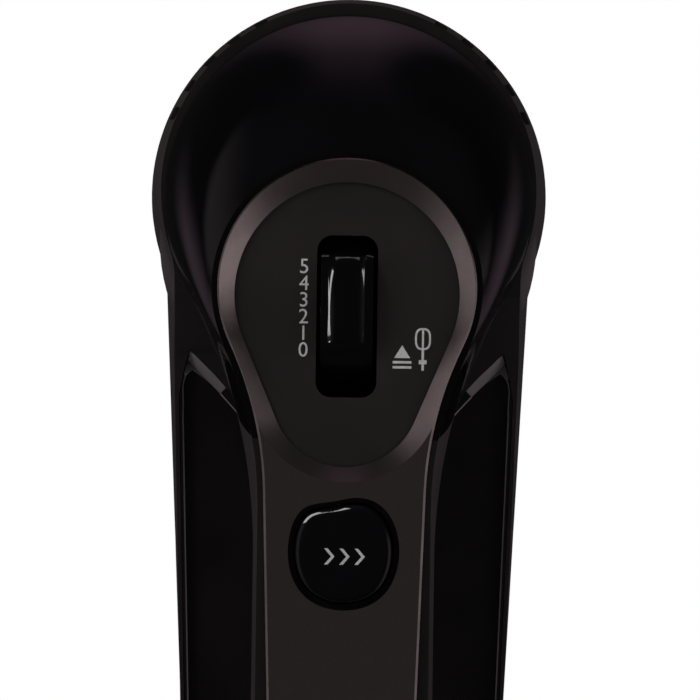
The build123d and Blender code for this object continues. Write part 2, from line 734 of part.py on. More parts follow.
def eject_carriage():
    """Plate on two posts that carries the dial and pushes both beaters out."""
    low, high = CARRIAGE_LEVEL, CARRIAGE_LEVEL + CARRIAGE_T
    carriage = block(-CARRIAGE_HALF, CARRIAGE_HALF, low, high, CARRIAGE_STEP, CARRIAGE_FRONT)
    carriage += block(-CARRIAGE_NECK_HALF, CARRIAGE_NECK_HALF, low, high, CARRIAGE_REAR, CARRIAGE_STEP)
    top = DIAL_LEVEL + DIAL_HUB_R
    rear, front = DIAL_Z - CHEEK_LENGTH / 2, DIAL_Z + CHEEK_LENGTH / 2
    cheek = block(CHEEK_IN, CHEEK_OUT, low, top, rear, front)
    carriage += both_sides(cheek)
    board_low = DIAL_LEVEL - BOARD_SIZE[2] + 8
    carriage += block(CHEEK_OUT - 0.5, BOARD_IN, board_low + 1, board_low + 5, rear, front)
    pegs = rod(SPINDLE_X, HEAD_Z, PEG_R, SHANK_TOP + PLAY, low)
    pegs += rod(SPINDLE_X, HEAD_Z, PEG_R + 1.6, SPINDLE_HIGH + EJECT_TRAVEL + 1, low)
    carriage += both_sides(pegs)
    carriage += both_sides(rod(POST_X, POST_Z, SLEEVE_R, low - 1, high + SLEEVE_HEIGHT))
    for x in (-POST_X, POST_X):
        carriage -= rod(x, POST_Z, POST_R + RUN, low - 2, high + SLEEVE_HEIGHT + 1)
    return carriage - across(Pos(DIAL_Z, DIAL_LEVEL) * Circle(DIAL_AXLE_R + RUN), CHEEK_OUT + 1)


def eject_springs():
    start = BOX_HIGH + COVER_T + EJECT_WIRE + 0.1
    length = CARRIAGE_LEVEL - 1 - EJECT_WIRE - 0.1 - start
    radius = POST_R + 2 * EJECT_WIRE + 0.2
    return [coil_spring((x, -start, POST_Z), OUT, radius, EJECT_WIRE, length, EJECT_TURNS)
            for x in (-POST_X, POST_X)]


# ================================================================ turbo button
TURBO_FLOOR = HANDLE_UNDER + WALL + SWITCH_SIZE[2]


def turbo_button():
    cap = slab(turbo_face(TURBO_GAP), TURBO_BASE, TURBO_TOP)
    cap = fillet(cap.faces().sort_by(Axis.Y)[0].outer_wire().edges(), 1.6)
    return cap + rod(0, TURBO_Z, TURBO_STEM_R, TURBO_FLOOR + PLUNGER_HEIGHT + TURBO_TRAVEL + PLAY, TURBO_BASE)


def turbo_cup():
    """Guide cup between the microswitch and the trim."""
    outer = turbo_face(TURBO_GAP - PLAY - TURBO_CUP_T)
    cup = slab(outer, TURBO_FLOOR, TRIM_SEAT)
    cup -= slab(turbo_face(TURBO_GAP - PLAY), TURBO_FLOOR + TURBO_CUP_T, TRIM_SEAT + 1)
    return cup - rod(0, TURBO_Z, TURBO_STEM_R + PLAY, TURBO_FLOOR - 1, TRIM_SEAT)


def turbo_spring():
    start = TURBO_FLOOR + TURBO_CUP_T + TURBO_WIRE + 0.1
    length = TURBO_BASE - TURBO_WIRE - 0.1 - start
    return coil_spring((0, -start, TURBO_Z), OUT, TURBO_STEM_R + 2 * TURBO_WIRE + 0.4, TURBO_WIRE,
                       length, TURBO_TURNS)


def turbo_switch():
    width, length, height = SWITCH_SIZE
    low = TURBO_FLOOR - height
    body = block(-width / 2, width / 2, low, TURBO_FLOOR, TURBO_Z - length / 2, TURBO_Z + length / 2)
    return body + rod(0, TURBO_Z, PLUNGER_R, TURBO_FLOOR, TURBO_FLOOR + PLUNGER_HEIGHT)


# ================================================================ motor
def motor_shaft():
    return axial(SHAFT_R, SHAFT_REAR, SHAFT_FRONT)


def armature_core():
    core = axial(CORE_R, CORE_REAR, CORE_FRONT) - axial(SHAFT_R + SEAT, CORE_REAR - 1, CORE_FRONT + 1)
    slot = block(-1.6, 1.6, CORE_R - 6, CORE_R - 1, CORE_REAR - 1, CORE_FRONT + 1)
    slot += block(-0.7, 0.7, CORE_R - 2, CORE_R + 1, CORE_REAR - 1, CORE_FRONT + 1)
    for index in range(CORE_SLOTS):
        core -= Rot(0, 0, 360 / CORE_SLOTS * index) * slot
    return core


def winding_ring(rear, front):
    ring = axial(WINDING_R, rear, front) - axial(SHAFT_R + SEAT, rear - 1, front + 1)
    return fillet(ring.edges().filter_by(GeomType.CIRCLE).group_by(SortBy.RADIUS)[-1], 2.4)


def armature_windings():
    rear = winding_ring(CORE_REAR - COIL_OVERHANG, CORE_REAR)
    return [rear, winding_ring(CORE_FRONT, CORE_FRONT + COIL_OVERHANG)]


def commutator():
    part = axial(COMMUTATOR_R, COMMUTATOR_REAR, COMMUTATOR_FRONT)
    part += axial(COMMUTATOR_R + 1.2, COMMUTATOR_FRONT - 1.6, COMMUTATOR_FRONT)
    part -= axial(SHAFT_R + SEAT, COMMUTATOR_REAR - 1, COMMUTATOR_FRONT + 1)
    groove = block(-0.25, 0.25, COMMUTATOR_R - 0.8, COMMUTATOR_R + 2, COMMUTATOR_REAR - 1,
                   COMMUTATOR_FRONT + 1)
    for index in range(COMMUTATOR_BARS):
        part -= Rot(0, 0, 360 / COMMUTATOR_BARS * index) * groove
    return part


def fan():
    front = FAN_REAR + FAN_HEIGHT
    part = axial(FAN_R, FAN_REAR, FAN_REAR + 1.4) + axial(SHAFT_R + 3, FAN_REAR, front)
    blade = block(-0.7, 0.7, SHAFT_R + 5, FAN_R - 0.6, FAN_REAR + 1, front)
    blade = Pos(4, 0, 0) * blade
    for index in range(FAN_BLADES):
        part += Rot(0, 0, 360 / FAN_BLADES * index) * blade
    return part - axial(SHAFT_R + SEAT, FAN_REAR - 1, front + 1)


def stator_core():
    face = RectangleRounded(2 * STATOR_HALF, 2 * STATOR_LEVEL, STATOR_R)
    core = extrude(Plane.XY.offset(CORE_REAR) * face, CORE_FRONT - CORE_REAR, dir=UP)
    core -= axial(CORE_R + AIR_GAP, CORE_REAR - 1, CORE_FRONT + 1)
    for low, high in ((COIL_LOW, COIL_HIGH), (-COIL_HIGH, -COIL_LOW)):
        window = block(COIL_IN - PLAY, COIL_OUT + SEAT, low - SEAT, high + SEAT, CORE_REAR - 1,
                       CORE_FRONT + 1)
        core -= both_sides(window)
    for x in (-BRACKET_SCREW_X, BRACKET_SCREW_X):
        for level in (-BRACKET_SCREW_LEVEL, BRACKET_SCREW_LEVEL):
            core -= axial(SCREW_R, CORE_REAR - 1, CORE_REAR + 9, x, level)
    return core


def field_coil():
    """One saddle coil round a pole."""
    rear, front = CORE_REAR - COIL_OVERHANG, CORE_FRONT + COIL_OVERHANG
    coil = both_sides(block(COIL_IN, COIL_OUT, COIL_LOW, COIL_HIGH, rear, front))
    coil += block(-COIL_OUT, COIL_OUT, COIL_LOW, COIL_END, rear, CORE_REAR - SEAT)
    coil += block(-COIL_OUT, COIL_OUT, COIL_LOW, COIL_END, CORE_FRONT + SEAT, front)
    return coil - axial(CORE_R + AIR_GAP, rear - 1, front + 1)


def field_coils():
    coil = field_coil()
    return [coil, mirror(coil, Plane.XZ)]


def bearing(rear, length):
    return axial(BEARING_R, rear, rear + length) - axial(SHAFT_R + RUN, rear - 1, rear + length + 1)


def rear_bracket():
    """Carries the rear bearing and both brush holders, and is screwed to the stator."""
    front = BRACKET_REAR + BRACKET_T
    face = RectangleRounded(2 * (STATOR_HALF + 1), 2 * (BRACKET_SCREW_LEVEL + 4), 4)
    part = extrude(Plane.XY.offset(BRACKET_REAR) * face, BRACKET_T, dir=UP)
    part += axial(BEARING_R + 2.4, REAR_BEARING_Z, front)
    plate = block(COIL_OUT + 0.4, BRACKET_SCREW_X + 2, -BRACKET_SCREW_LEVEL, BRACKET_SCREW_LEVEL,
                  BRACKET_REAR, CORE_REAR)
    for level in (-BRACKET_SCREW_LEVEL, BRACKET_SCREW_LEVEL):
        plate += axial(BRACKET_POST_R, BRACKET_REAR, CORE_REAR, BRACKET_SCREW_X, level)
    part += both_sides(plate)
    part -= axial(BEARING_R + SEAT, REAR_BEARING_Z - 1, REAR_BEARING_Z + BEARING_LENGTH)
    part -= axial(SHAFT_R + 1.5, REAR_BEARING_Z, front + 1)
    for x in (-BRACKET_SCREW_X, BRACKET_SCREW_X):
        for level in (-BRACKET_SCREW_LEVEL, BRACKET_SCREW_LEVEL):
            part -= axial(SCREW_R + SEAT, BRACKET_REAR - 1, CORE_REAR + 1, x, level)
    return part - both_sides(holder_box(SEAT))


def holder_box(gap=0):
    """Outside of one brush holder."""
    middle = (COMMUTATOR_REAR + COMMUTATOR_FRONT) / 2
    half_level, half_z = BRUSH_HALF[0] + RUN + HOLDER_T + gap, BRUSH_HALF[1] + RUN + HOLDER_T + gap
    return block(HOLDER_IN, HOLDER_OUT, -half_level, half_level, middle - half_z, middle + half_z)


def brush_holders():
    middle = (COMMUTATOR_REAR + COMMUTATOR_FRONT) / 2
    level, half = BRUSH_HALF[0] + RUN, BRUSH_HALF[1] + RUN
    holder = holder_box() - block(HOLDER_IN - 1, HOLDER_OUT - HOLDER_T, -level, level, middle - half,
                                  middle + half)
    return [holder, mirror(holder, Plane.YZ)]


def brushes():
    middle = (COMMUTATOR_REAR + COMMUTATOR_FRONT) / 2
    level, half = BRUSH_HALF
    brush = block(COMMUTATOR_R - 1, BRUSH_END, -level, level, middle - half, middle + half)
    brush -= axial(COMMUTATOR_R + RUN, COMMUTATOR_REAR, COMMUTATOR_FRONT)
    return [brush, mirror(brush, Plane.YZ)]


def brush_springs():
    middle = (COMMUTATOR_REAR + COMMUTATOR_FRONT) / 2
    start = BRUSH_END + BRUSH_WIRE + 0.05
    length = HOLDER_OUT - HOLDER_T - BRUSH_WIRE - 0.05 - start
    spring = coil_spring((start, 0, middle), (1, 0, 0), BRUSH_HALF[0] - BRUSH_WIRE - 0.2, BRUSH_WIRE,
                         length, BRUSH_TURNS)
    return [spring, mirror(spring, Plane.YZ)]


def motor_screws():
    screws = []
    for x in (-BRACKET_SCREW_X, BRACKET_SCREW_X):
        for level in (-BRACKET_SCREW_LEVEL, BRACKET_SCREW_LEVEL):
            screw = axial(SCREW_R - SEAT, BRACKET_REAR, CORE_REAR + 8, x, level)
            screw += axial(SCREW_HEAD_R, BRACKET_REAR - SCREW_HEAD_T, BRACKET_REAR, x, level)
            cross = block(x - 2, x + 2, level - 0.4, level + 0.4, BRACKET_REAR - SCREW_HEAD_T - 1,
                          BRACKET_REAR - SCREW_HEAD_T + 1)
            screws.append(screw - cross)
    return screws


# ================================================================ worm gear
def toothed_face(teeth, radii, widths, lead_in=0):
    """Face of equal teeth: each rises through three radii with three angular widths."""
    points = []
    for index in range(teeth):
        middle = 360 / teeth * index + lead_in
        for radius, width in zip(radii, widths):
            points.append((radius, middle - width / 2))
        for radius, width in reversed(list(zip(radii, widths))):
            points.append((radius, middle + width / 2))
    corners = [(radius * cos(radians(angle)), radius * sin(radians(angle))) for radius, angle in points]
    return make_face(Polyline(*corners, close=True))


def tooth_widths(radii, pitch_r):
    """Tooth thickness along the pitch line at each radius, for 20 degree flanks."""
    half_pitch = pi * MODULE / 2 - MESH
    return [half_pitch - 2 * (radius - pitch_r) * tan(radians(20)) for radius in radii]


def worm():
    radii = [WORM_PITCH_R - 1.2 * MODULE + 0.1, WORM_PITCH_R, WORM_PITCH_R + 0.8 * MODULE]
    widths = [360 * width / LEAD for width in tooth_widths(radii, WORM_PITCH_R)]
    rear, front = HEAD_Z - WORM_LENGTH / 2, HEAD_Z + WORM_LENGTH / 2
    turn = 360 * WORM_LENGTH / LEAD
    face = Plane.XY.offset(rear) * toothed_face(WORM_STARTS, radii, widths, -turn / 2)
    thread = Solid.extrude_linear_with_rotation(face.face(), (0, 0, rear), (0, 0, WORM_LENGTH), turn)
    return Part() + thread - axial(SHAFT_R + SEAT, rear - 1, front + 1)


def worm_wheel(x, facing):
    """Helical wheel on one spindle; facing is the direction of the worm along X."""
    pitch_r = SPINDLE_X - WORM_PITCH_R
    radii = [pitch_r - 1.05 * MODULE, pitch_r, pitch_r + 0.8 * MODULE]
    widths = [degrees(width / radius) for width, radius in zip(tooth_widths(radii, pitch_r), radii)]
    pitch = 360 / WHEEL_TEETH
    twist = degrees(WHEEL_WIDTH * LEAD / (2 * pi * WORM_PITCH_R) / pitch_r)
    start = -twist / 2 * WHEEL_SIGN
    middle = 0 if facing > 0 else 180
    face = toothed_face(WHEEL_TEETH, radii, widths, middle + pitch / 2 + start)
    low = -WHEEL_WIDTH / 2
    plane = Plane(origin=(x, low, HEAD_Z), x_dir=(1, 0, 0), z_dir=(0, 1, 0))
    wheel = Solid.extrude_linear_with_rotation((plane * face).face(), (x, low, HEAD_Z),
                                               (0, WHEEL_WIDTH, 0), twist * WHEEL_SIGN)
    wheel = Part() + wheel
    rim = pitch_r - 4
    web = rod(x, HEAD_Z, rim, -WHEEL_WIDTH, WHEEL_WIDTH) - rod(x, HEAD_Z, BUSH_R, -WHEEL_WIDTH, WHEEL_WIDTH)
    wheel -= web & block(x - 20, x + 20, 2, WHEEL_WIDTH, 0, 2 * HEAD_Z)
    wheel -= web & block(x - 20, x + 20, -WHEEL_WIDTH, -2, 0, 2 * HEAD_Z)
    return wheel - rod(x, HEAD_Z, SPINDLE_R + SEAT, -WHEEL_WIDTH, WHEEL_WIDTH)


WHEEL_SIGN = 1


def box_face(radius):
    """Outline of the gearbox round both wheels."""
    return (Pos(0, HEAD_Z) * Rectangle(2 * SPINDLE_X, 2 * radius)
            + Pos(-SPINDLE_X, HEAD_Z) * Circle(radius) + Pos(SPINDLE_X, HEAD_Z) * Circle(radius))


def gearbox_frame():
    """Open tub with seats for the lower bushes and for both front motor bearings."""
    frame = slab(box_face(BOX_R), BOX_LOW, BOX_HIGH)
    for x, z in LUGS:
        frame += rod(x, z, LUG_R, BOX_LOW, BOX_HIGH)
    seat = axial(BEARING_R + 2.2, MIDDLE_BEARING_Z, HEAD_Z - BOX_R + 3)
    seat += axial(BEARING_R + 2.2, NOSE_BEARING_Z, HEAD_Z + BOX_R)
    frame += seat
    for x in (-SPINDLE_X, SPINDLE_X):
        frame += rod(x, HEAD_Z, BUSH_R + BOSS_T, BUSH_LOW, BOX_LOW + 1)
    frame -= slab(box_face(BOX_R - BOX_FLOOR), BOX_LOW + BOX_FLOOR, BOX_HIGH + 1) - seat
    frame -= axial(SHAFT_R + 1, MIDDLE_BEARING_Z - 1, SHAFT_FRONT + 0.5)
    frame -= axial(BEARING_R + SEAT, MIDDLE_BEARING_Z - 1, MIDDLE_BEARING_Z + BEARING_LENGTH)
    frame -= axial(BEARING_R + SEAT, NOSE_BEARING_Z - 1, NOSE_BEARING_Z + BEARING_LENGTH - 1)
    for x in (-SPINDLE_X, SPINDLE_X):
        frame -= rod(x, HEAD_Z, BUSH_R + SEAT, BUSH_LOW - 1, BOX_HIGH)
    for x, z in LUGS:
        frame -= rod(x, z, SCREW_R + SEAT, BOX_LOW - 1, BOX_HIGH + 1)
    return frame


MIDDLE_BEARING_Z = HEAD_Z - BOX_R - BEARING_LENGTH + 1
NOSE_BEARING_Z = HEAD_Z + WORM_LENGTH / 2 + 1.5


def gearbox_cover():
    """Lid with the upper bush seats and the posts that guide the carriage."""
    low, high = BOX_HIGH, BOX_HIGH + COVER_T
    cover = slab(box_face(BOX_R), low, high)
    for x, z in LUGS:
        cover += rod(x, z, LUG_R, low, high)
    for x in (-SPINDLE_X, SPINDLE_X):
        cover += rod(x, HEAD_Z, BUSH_R + BOSS_T, low, BUSH_HIGH)
    post_top = CARRIAGE_LEVEL + CARRIAGE_T + SLEEVE_HEIGHT + 2
    for x in (-POST_X, POST_X):
        cover += rod(x, POST_Z, POST_R, low, post_top)
    for x in (-SPINDLE_X, SPINDLE_X):
        cover -= rod(x, HEAD_Z, BUSH_R + SEAT, low - 1, BUSH_HIGH + 1)
    for x, z in LUGS:
        cover -= rod(x, z, SCREW_R + SEAT, low - 1, high + 1)
    return cover


def gearbox_screws():
    high = BOX_HIGH + COVER_T
    screws = []
    for x, z in LUGS:
        screw = rod(x, z, SCREW_R - SEAT, BOX_LOW - 16, high)
        screw += rod(x, z, SCREW_HEAD_R, high, high + SCREW_HEAD_T)
        screws.append(screw - block(x - 2, x + 2, high + 1.2, high + 4, z - 0.4, z + 0.4))
    return screws


def spindle_bushes():
    bushes = []
    for x in (-SPINDLE_X, SPINDLE_X):
        for low, high in ((BUSH_LOW, -BUSH_FACE), (BUSH_FACE, BUSH_HIGH)):
            bush = rod(x, HEAD_Z, BUSH_R, low, high)
            bushes.append(bush - rod(x, HEAD_Z, SPINDLE_R + RUN, low - 1, high + 1))
    return bushes


def spindle(x, turn):
    """Hollow spindle with two drive slots at its mouth, turned by an angle."""
    tube = rod(x, HEAD_Z, SPINDLE_R, SPINDLE_LOW, SPINDLE_HIGH)
    tube -= rod(x, HEAD_Z, SHANK_R + RUN, SPINDLE_LOW - 1, SPINDLE_HIGH + 1)
    slot = block(-SPINDLE_R - 1, SPINDLE_R + 1, SPINDLE_LOW - 1, SPINDLE_LOW + TAB_LENGTH + 1,
                 -TAB_T / 2 - PLAY, TAB_T / 2 + PLAY)
    return tube - Pos(x, 0, HEAD_Z) * Rot(0, turn, 0) * slot


def detent_ring(x):
    """Split ring that holds the beater in, on the spindle just below its bush."""
    high = BUSH_LOW - PLAY
    ring = rod(x, HEAD_Z, RING_R, high - RING_T, high)
    ring -= rod(x, HEAD_Z, SPINDLE_R + SEAT, high - RING_T - 1, high + 1)
    return ring - block(x - 1, x + 1, high - RING_T - 1, high + 1, HEAD_Z, HEAD_Z + RING_R + 1)


def port_collar(x):
    """Lined port in the underside round one spindle."""
    collar = rod(x, HEAD_Z, PORT_R - SEAT, UNDERSIDE, UNDERSIDE + WALL + 2)
    collar += rod(x, HEAD_Z, PORT_RIM, UNDERSIDE - PORT_RIM_T, UNDERSIDE)
    collar = chamfer(collar.edges().filter_by(GeomType.CIRCLE).sort_by(Axis.Y)[-1], 0.8)
    return collar - rod(x, HEAD_Z, PORT_BORE_R, UNDERSIDE - PORT_RIM_T - 1, UNDERSIDE + WALL + 3)


# ================================================================ beaters
def beater_shank(x, turn):
    """Steel shank with drive tabs, turned by an angle."""
    shank = rod(0, 0, SHANK_R, SHANK_END, SHANK_TOP)
    shank = chamfer(shank.edges().filter_by(GeomType.CIRCLE).sort_by(Axis.Y)[0], 0.8)
    tab_low = SPINDLE_LOW + 0.5
    shank += block(-TAB_HALF, TAB_HALF, tab_low, tab_low + TAB_LENGTH, -TAB_T / 2, TAB_T / 2)
    return Pos(x, 0, HEAD_Z) * Rot(0, turn, 0) * shank


def beater_collar(x, teeth):
    """Stop collar on the shank; the toothed one only fits the right-hand port."""
    low = BEATER_COLLAR_TOP - BEATER_COLLAR_T
    collar = rod(x, HEAD_Z, BEATER_COLLAR_R, low, BEATER_COLLAR_TOP)
    for index in range(teeth):
        angle = 2 * pi / teeth * index
        place = (x + BEATER_COLLAR_R * cos(angle), HEAD_Z + BEATER_COLLAR_R * sin(angle))
        collar -= rod(*place, 1.1, low - 1, BEATER_COLLAR_TOP + 1)
    return collar - rod(x, HEAD_Z, SHANK_R + SEAT, low - 1, BEATER_COLLAR_TOP + 1)


def strip_loop():
    """One closed strip, drawn in (radius, level) and made solid across its width."""
    points = [(-2.4, SHANK_END + 4), (2.4, SHANK_END + 4), (CAGE_R, CAGE_SHOULDER),
              (CAGE_FOOT_R, CAGE_FOOT), (-CAGE_FOOT_R, CAGE_FOOT), (-CAGE_R, CAGE_SHOULDER)]
    outer = make_face(Polyline(*points, close=True))
    outer = fillet(outer.vertices().filter_by(lambda v: v.Y < SHANK_END), 11)
    band = outer - offset(outer, -STRIP_T, kind=Kind.ARC)
    return extrude(Plane(origin=(0, 0, 0), x_dir=(1, 0, 0), z_dir=(0, 0, -1)) * band, STRIP_WIDTH / 2,
                   both=True)


def beater_cage(x, turn):
    """Two crossed strip loops, welded to a ferrule at the end of the shank."""
    loop = strip_loop()
    cage = loop + Rot(0, 90, 0) * loop
    ferrule_low, ferrule_high = SHANK_END - 3, SHANK_END + 8
    cage += rod(0, 0, SHANK_R + 1.4, ferrule_low, ferrule_high)
    cage -= rod(0, 0, SHANK_R + SEAT, SHANK_END - SEAT, ferrule_high + 1)
    return Pos(x, 0, HEAD_Z) * Rot(0, turn, 0) * cage


# ================================================================ small pieces
def housing_screws():
    screws = []
    for x, z in HOUSING_BOSSES:
        screw = rod(x, z, SCREW_R - SEAT, HOUSING_SCREW_LOW, HOUSING_SCREW_HIGH)
        head_low = HOUSING_SCREW_LOW - SCREW_HEAD_T
        screw += rod(x, z, SCREW_HEAD_R, head_low, HOUSING_SCREW_LOW)
        screws.append(screw - block(x - 2, x + 2, head_low - 1, head_low + 1, z - 0.4, z + 0.4))
    return screws


def cord_gland():
    """Rubber grommet with an open bore for the mains cord."""
    gland = gland_rod(GLAND_R, -GLAND_INSIDE, GLAND_OUTSIDE)
    flange_foot = handle_solid()
    gland += gland_rod(GLAND_FLANGE_R, 0, GLAND_FLANGE_T + 1) - flange_foot
    return gland - gland_rod(GLAND_BORE_R, -GLAND_INSIDE - 1, GLAND_OUTSIDE + 1)


def cord_clamp():
    """Strap across the inside of the rear column, with a groove for the cord."""
    clamp = block(-CLAMP_HALF, CLAMP_HALF, CLAMP_LEVEL - CLAMP_WIDTH / 2, CLAMP_LEVEL + CLAMP_WIDTH / 2,
                  CLAMP_Z - 3, CLAMP_Z - 3 + CLAMP_T)
    for x in (-CLAMP_SCREW_X, CLAMP_SCREW_X):
        clamp -= axial(SCREW_R + SEAT, CLAMP_Z - 5, CLAMP_Z + 3, x, CLAMP_LEVEL)
    return clamp


def clamp_screws():
    top = CLAMP_Z - 3 + CLAMP_T
    screws = []
    for x in (-CLAMP_SCREW_X, CLAMP_SCREW_X):
        screw = axial(SCREW_R - SEAT, CLAMP_Z - 12, top, x, CLAMP_LEVEL)
        screws.append(screw + axial(SCREW_HEAD_R, top, top + 1.8, x, CLAMP_LEVEL))
    return screws


def floor_box(size, z):
    """Box that stands on the inner floor of the handle."""
    width, length, height = size
    floor = HANDLE_UNDER + WALL
    return block(-width / 2, width / 2, floor, floor + height, z - length / 2, z + length / 2)


# ================================================================ all pieces
def build():
    shell = outer_shell()
    pieces = {
        "lower_housing": lower_housing(),
        "upper_housing": upper_housing(shell),
        "hood": hood(shell),
        "gap_floor": gap_floor(),
        "handle_trim": handle_trim(),
        "control_panel": control_panel(),
        "speed_dial": speed_dial(),
        "dial_axle": dial_axle(),
        "dial_wiper": wiper(),
        "speed_board": speed_board(),
        "eject_carriage": eject_carriage(),
        "eject_springs": Compound(eject_springs()),
        "turbo_button": turbo_button(),
        "turbo_cup": turbo_cup(),
        "turbo_spring": turbo_spring(),
        "turbo_switch": turbo_switch(),
        "motor_shaft": motor_shaft(),
        "armature_core": armature_core(),
        "armature_windings": Compound(armature_windings()),
        "commutator": commutator(),
        "fan": fan(),
        "worm": worm(),
        "stator_core": stator_core(),
        "field_coils": Compound(field_coils()),
        "rear_bearing": bearing(REAR_BEARING_Z, BEARING_LENGTH),
        "middle_bearing": bearing(MIDDLE_BEARING_Z, BEARING_LENGTH),
        "nose_bearing": bearing(NOSE_BEARING_Z, BEARING_LENGTH - 1),
        "rear_bracket": rear_bracket(),
        "brush_holders": Compound(brush_holders()),
        "brushes": Compound(brushes()),
        "brush_springs": Compound(brush_springs()),
        "motor_screws": Compound(motor_screws()),
        "gearbox_frame": gearbox_frame(),
        "gearbox_cover": gearbox_cover(),
        "gearbox_screws": Compound(gearbox_screws()),
        "spindle_bushes": Compound(spindle_bushes()),
        "housing_screws": Compound(housing_screws()),
        "cord_gland": cord_gland(),
        "cord_clamp": cord_clamp(),
        "clamp_screws": Compound(clamp_screws()),
        "suppression_capacitor": floor_box(CAPACITOR, CAPACITOR_Z),
        "terminal_block": floor_box(TERMINAL, TERMINAL_Z),
    }
    for side, x, turn, teeth in (("left", -SPINDLE_X, 0, 0), ("right", SPINDLE_X, 45, BEATER_TEETH)):
        pieces["spindle_" + side] = spindle(x, turn)
        pieces["worm_wheel_" + side] = worm_wheel(x, -x)
        pieces["detent_ring_" + side] = detent_ring(x)
        pieces["port_collar_" + side] = port_collar(x)
        pieces["beater_shank_" + side] = beater_shank(x, turn)
        pieces["beater_collar_" + side] = beater_collar(x, teeth)
        pieces["beater_cage_" + side] = beater_cage(x, turn)
    return pieces


os.makedirs("parts", exist_ok=True)
for piece_name, piece in build().items():
    write(piece_name, piece)
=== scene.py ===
"""Looks of the hand mixer: camera, light, materials and the printed marks. Metres throughout."""

import json
import math

import bmesh
import bpy
from mathutils import Matrix, Vector
from mathutils.bvhtree import BVHTree


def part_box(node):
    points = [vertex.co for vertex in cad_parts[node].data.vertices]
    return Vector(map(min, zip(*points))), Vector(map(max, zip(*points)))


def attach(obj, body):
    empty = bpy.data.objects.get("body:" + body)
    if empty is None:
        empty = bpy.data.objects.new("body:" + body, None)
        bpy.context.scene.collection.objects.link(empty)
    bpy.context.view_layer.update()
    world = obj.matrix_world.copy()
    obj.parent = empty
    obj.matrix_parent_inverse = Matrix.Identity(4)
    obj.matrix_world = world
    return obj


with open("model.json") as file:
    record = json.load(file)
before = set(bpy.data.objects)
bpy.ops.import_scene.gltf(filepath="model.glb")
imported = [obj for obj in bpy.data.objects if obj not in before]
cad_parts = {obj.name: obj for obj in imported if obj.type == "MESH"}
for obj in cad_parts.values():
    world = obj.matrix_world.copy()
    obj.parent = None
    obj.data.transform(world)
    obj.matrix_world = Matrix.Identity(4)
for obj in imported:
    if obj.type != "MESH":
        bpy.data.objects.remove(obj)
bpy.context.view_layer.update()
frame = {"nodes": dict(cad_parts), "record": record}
MM = 0.001

# Main sizes shared with the model, in millimetres.
TRIM_TOP = 97.5
TRIM_MIDDLE_Z = 125.0

# ---------------------------------------------------------------- camera

VIEW_DISTANCE = 0.900
VIEW_WIDTH = 0.1522  # what the picture takes in at that distance
SENSOR = 36.0
CLIP_RANGE = (0.05, 20.0)
AIM = Vector((0.0008, -0.0976, 0.1215))
ROLL = math.radians(-0.8)


def make_camera():
    data = bpy.data.cameras.new("camera")
    data.sensor_width = SENSOR
    data.lens = SENSOR * VIEW_DISTANCE / VIEW_WIDTH
    data.clip_start, data.clip_end = CLIP_RANGE
    cam = bpy.data.objects.new("camera", data)
    bpy.context.scene.collection.objects.link(cam)
    cam.location = AIM + Vector((0, -VIEW_DISTANCE, 0))
    turn = Matrix.Rotation(ROLL, 3, "Y") @ Matrix.Rotation(math.pi / 2, 3, "X")
    cam.rotation_euler = turn.to_euler()
    bpy.context.scene.camera = cam


# ---------------------------------------------------------------- material nodes


